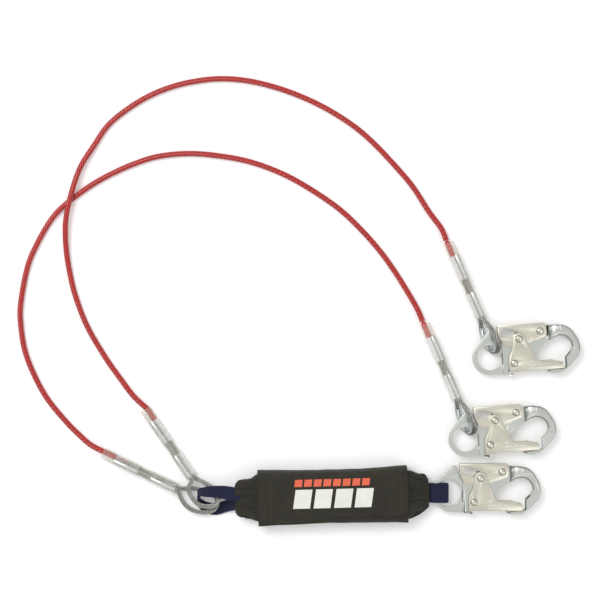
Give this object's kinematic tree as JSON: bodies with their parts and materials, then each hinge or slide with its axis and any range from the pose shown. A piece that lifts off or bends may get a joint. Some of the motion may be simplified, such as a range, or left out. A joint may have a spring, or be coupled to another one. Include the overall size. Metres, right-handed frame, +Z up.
{
  "type": "shock absorbing lanyard",
  "caption": "Twin-leg energy absorbing lanyard with red vinyl-jacketed wire rope legs, webbing absorber pack and self-locking snap hooks.",
  "frame": {"origin": "middle of the footprint of everything but the two free cables, on the surface that the lanyard lies on", "axes": "+X from the cable side of the pack to its hook side, along the longest extent; +Y towards the top of the arcs of the legs; +Z up, away from the surface, the shortest extent"},
  "size_m": [0.6753, 0.5386, 0.035],
  "materials": {
    "forged_steel": "zinc plated forging, satin",
    "pressed_steel": "zinc plated sheet, satin",
    "rivet_steel": "bright rivet heads",
    "spring_steel": "drawn wire",
    "red_vinyl": "glossy translucent red vinyl over wire rope",
    "wire_rope": "galvanised strands",
    "thimble_steel": "galvanised sheet",
    "ferrule_aluminium": "swaged, bright",
    "clear_sleeve": "translucent flexible sleeve",
    "cover_fabric": "dark woven cover with a diagonal texture",
    "bag_fabric": "dark woven cover, gathered",
    "hook_and_loop": "black hook and loop tape",
    "tear_webbing": "pale woven webbing",
    "navy_webbing": "navy woven webbing",
    "label_sheet": "blank label sheets"
  },
  "bodies": {
    "pack": {"outer_wrap": "cover_fabric", "wrap_closure_strips": "hook_and_loop", "inner_bag": "bag_fabric", "tear_webbing": "tear_webbing", "backup_strap": "navy_webbing", "label_booklet": "label_sheet", "cable_side_loop": "navy_webbing", "leg_a_cable": "red_vinyl", "leg_a_pack_eye_rope": "wire_rope", "leg_a_pack_end_ferrules": "ferrule_aluminium", "leg_a_pack_end_sleeve": "clear_sleeve", "leg_b_cable": "red_vinyl", "leg_b_pack_eye_rope": "wire_rope", "leg_b_pack_end_ferrules": "ferrule_aluminium", "leg_b_pack_end_sleeve": "clear_sleeve"},
    "harness_hook": {"hook_side_loop": "navy_webbing", "harness_hook_body": "forged_steel", "harness_hook_gate_pivot": "rivet_steel", "harness_hook_lever_pivot": "rivet_steel", "harness_hook_gate_spring": "spring_steel", "harness_hook_lever_spring": "spring_steel"},
    "leg_a_end": {"leg_a_cable_end": "red_vinyl", "leg_a_hook_eye_rope": "wire_rope", "leg_a_thimble": "thimble_steel", "leg_a_hook_end_ferrules": "ferrule_aluminium", "leg_a_hook_end_sleeve": "clear_sleeve", "leg_a_hook_body": "forged_steel", "leg_a_hook_gate_pivot": "rivet_steel", "leg_a_hook_lever_pivot": "rivet_steel", "leg_a_hook_gate_spring": "spring_steel", "leg_a_hook_lever_spring": "spring_steel"},
    "leg_b_end": {"leg_b_cable_end": "red_vinyl", "leg_b_hook_eye_rope": "wire_rope", "leg_b_thimble": "thimble_steel", "leg_b_hook_end_ferrules": "ferrule_aluminium", "leg_b_hook_end_sleeve": "clear_sleeve", "leg_b_hook_body": "forged_steel", "leg_b_hook_gate_pivot": "rivet_steel", "leg_b_hook_lever_pivot": "rivet_steel", "leg_b_hook_gate_spring": "spring_steel", "leg_b_hook_lever_spring": "spring_steel"},
    "harness_hook_lever": {"harness_hook_lock_lever": "pressed_steel"},
    "harness_hook_gate": {"harness_hook_gate": "pressed_steel", "harness_hook_gate_cross_pin": "rivet_steel"},
    "leg_a_hook_lever": {"leg_a_hook_lock_lever": "pressed_steel"},
    "leg_a_hook_gate": {"leg_a_hook_gate": "pressed_steel", "leg_a_hook_gate_cross_pin": "rivet_steel"},
    "leg_b_hook_lever": {"leg_b_hook_lock_lever": "pressed_steel"},
    "leg_b_hook_gate": {"leg_b_hook_gate": "pressed_steel", "leg_b_hook_gate_cross_pin": "rivet_steel"}
  },
  "joints": [
    {"name": "harness_hook_lift", "type": "hinge", "parent": "pack", "child": "harness_hook", "pos_m": [0.1072, -0.1332, 0.0105], "axis": [0, -1, 0], "range_deg": [0, 45]},
    {"name": "leg_a_end_lift", "type": "hinge", "parent": "pack", "child": "leg_a_end", "pos_m": [0.1292, 0.16604, 0.00593], "axis": [-0.9205, -0.3907, 0], "range_deg": [0, 45]},
    {"name": "leg_b_end_lift", "type": "hinge", "parent": "pack", "child": "leg_b_end", "pos_m": [0.1007, 0.06874, 0.00593], "axis": [-0.9205, -0.3907, 0], "range_deg": [0, 45]},
    {"name": "harness_hook_lever_press", "type": "hinge", "parent": "harness_hook", "child": "harness_hook_lever", "pos_m": [0.1934, -0.1075, 0.0105], "axis": [0, 0, 1], "range_deg": [0, 10.5], "stiffness_Nm_per_rad": 0.15, "springref_deg": -5.73},
    {"name": "harness_hook_gate_swing", "type": "hinge", "parent": "harness_hook", "child": "harness_hook_gate", "pos_m": [0.1597, -0.1436, 0.0105], "axis": [0, 0, 1], "range_deg": [0, 25.2]},
    {"name": "leg_a_hook_lever_press", "type": "hinge", "parent": "leg_a_end", "child": "leg_a_hook_lever", "pos_m": [0.23876, 0.06093, 0.0105], "axis": [0, 0, 1], "range_deg": [0, 10.5], "stiffness_Nm_per_rad": 0.15, "springref_deg": -5.73},
    {"name": "leg_a_hook_gate_swing", "type": "hinge", "parent": "leg_a_end", "child": "leg_a_hook_gate", "pos_m": [0.208, 0.0223, 0.0105], "axis": [0, 0, 1], "range_deg": [0, 25.2]},
    {"name": "leg_b_hook_lever_press", "type": "hinge", "parent": "leg_b_end", "child": "leg_b_hook_lever", "pos_m": [0.21006, -0.03657, 0.0105], "axis": [0, 0, 1], "range_deg": [0, 10.5], "stiffness_Nm_per_rad": 0.15, "springref_deg": -5.73},
    {"name": "leg_b_hook_gate_swing", "type": "hinge", "parent": "leg_b_end", "child": "leg_b_hook_gate", "pos_m": [0.1793, -0.0752, 0.0105], "axis": [0, 0, 1], "range_deg": [0, 25.2]}
  ],
  "couplings": [
    {"joint": "harness_hook_gate_swing", "follows": "harness_hook_lever_press", "ratio": 2.4},
    {"joint": "leg_a_hook_gate_swing", "follows": "leg_a_hook_lever_press", "ratio": 2.4},
    {"joint": "leg_b_hook_gate_swing", "follows": "leg_b_hook_lever_press", "ratio": 2.4}
  ]
}
